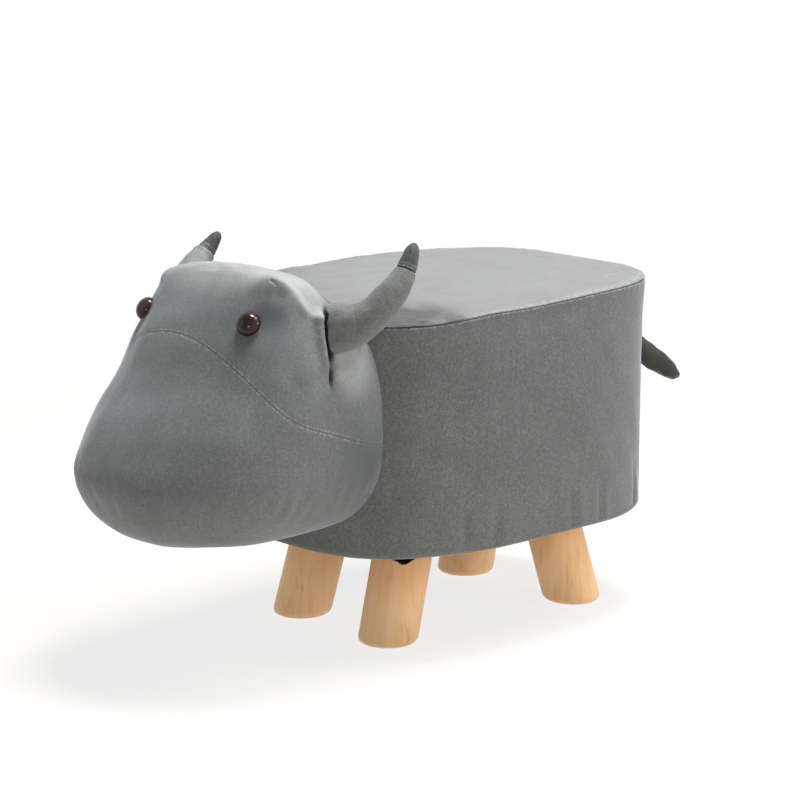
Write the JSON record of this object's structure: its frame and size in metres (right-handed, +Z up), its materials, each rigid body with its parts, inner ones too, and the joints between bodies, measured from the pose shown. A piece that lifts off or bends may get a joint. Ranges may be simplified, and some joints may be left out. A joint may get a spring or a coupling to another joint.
{
  "type": "animal footstool",
  "caption": "Upholstered animal footstool: a padded oblong seat on splayed wooden legs, with a stuffed head, soft curved horns, button eyes and a flat sewn-on tail.",
  "frame": {"origin": "on the floor, below the middle of the whole footstool's length and width", "axes": "+Z up; the head looks along -Y; the animal's left side is +X"},
  "size_m": [0.3427, 0.7942, 0.43],
  "materials": {
    "suede_cover": "matte",
    "dark_cloth": "matte",
    "dust_cloth": "matte",
    "plywood": "matte",
    "pine": "matte",
    "card": "matte",
    "foam": "matte",
    "wadding": "matte",
    "leg_wood": "satin",
    "steel": "satin",
    "eye_button": "gloss",
    "nylon": "matte"
  },
  "bodies": {
    "footstool": {"seat_cover": "suede_cover", "side_cover": "suede_cover", "seat_foam": "foam", "side_foam": "foam", "card_wall": "card", "post_front_left": "pine", "post_middle_left": "pine", "post_rear_left": "pine", "post_front_right": "pine", "post_middle_right": "pine", "post_rear_right": "pine", "base_screw_front_left": "steel", "base_screw_middle_left": "steel", "base_screw_rear_left": "steel", "base_screw_front_right": "steel", "base_screw_middle_right": "steel", "base_screw_rear_right": "steel", "seat_screw_front_left": "steel", "seat_screw_middle_left": "steel", "seat_screw_rear_left": "steel", "seat_screw_front_right": "steel", "seat_screw_middle_right": "steel", "seat_screw_rear_right": "steel", "base_board": "plywood", "seat_board": "plywood", "leg_front_left": "leg_wood", "leg_front_right": "leg_wood", "leg_rear_left": "leg_wood", "leg_rear_right": "leg_wood", "hanger_bolt_front_left": "steel", "hanger_bolt_front_right": "steel", "hanger_bolt_rear_left": "steel", "hanger_bolt_rear_right": "steel", "tee_nut_front_left": "steel", "tee_nut_front_right": "steel", "tee_nut_rear_left": "steel", "tee_nut_rear_right": "steel", "dust_cover": "dust_cloth", "forehead_panel": "suede_cover", "muzzle_panel": "suede_cover", "chin_panel": "suede_cover", "head_stuffing": "wadding", "eye_left": "eye_button", "eye_right": "eye_button", "eye_washer_left": "nylon", "eye_washer_right": "nylon"},
    "horn_left": {"horn_cover_left": "suede_cover", "horn_tip_left": "dark_cloth", "horn_stuffing_left": "wadding"},
    "horn_right": {"horn_cover_right": "suede_cover", "horn_tip_right": "dark_cloth", "horn_stuffing_right": "wadding"},
    "tail": {"tail_side_left": "dark_cloth", "tail_side_right": "dark_cloth", "tail_stuffing": "wadding"}
  },
  "joints": [
    {"name": "tail_wag", "type": "hinge", "parent": "footstool", "child": "tail", "pos_m": [0, 0.25614, 0.286], "axis": [0, 0, 1], "range_deg": [-70, 70], "stiffness_Nm_per_rad": 0.02},
    {"name": "horn_left_bend", "type": "hinge", "parent": "footstool", "child": "horn_left", "pos_m": [0.12093, -0.22016, 0.34739], "axis": [0, 0, -1], "range_deg": [0, 30], "stiffness_Nm_per_rad": 0.2},
    {"name": "horn_right_bend", "type": "hinge", "parent": "footstool", "child": "horn_right", "pos_m": [-0.11525, -0.22187, 0.34602], "axis": [0, 0, 1], "range_deg": [0, 30], "stiffness_Nm_per_rad": 0.2}
  ]
}
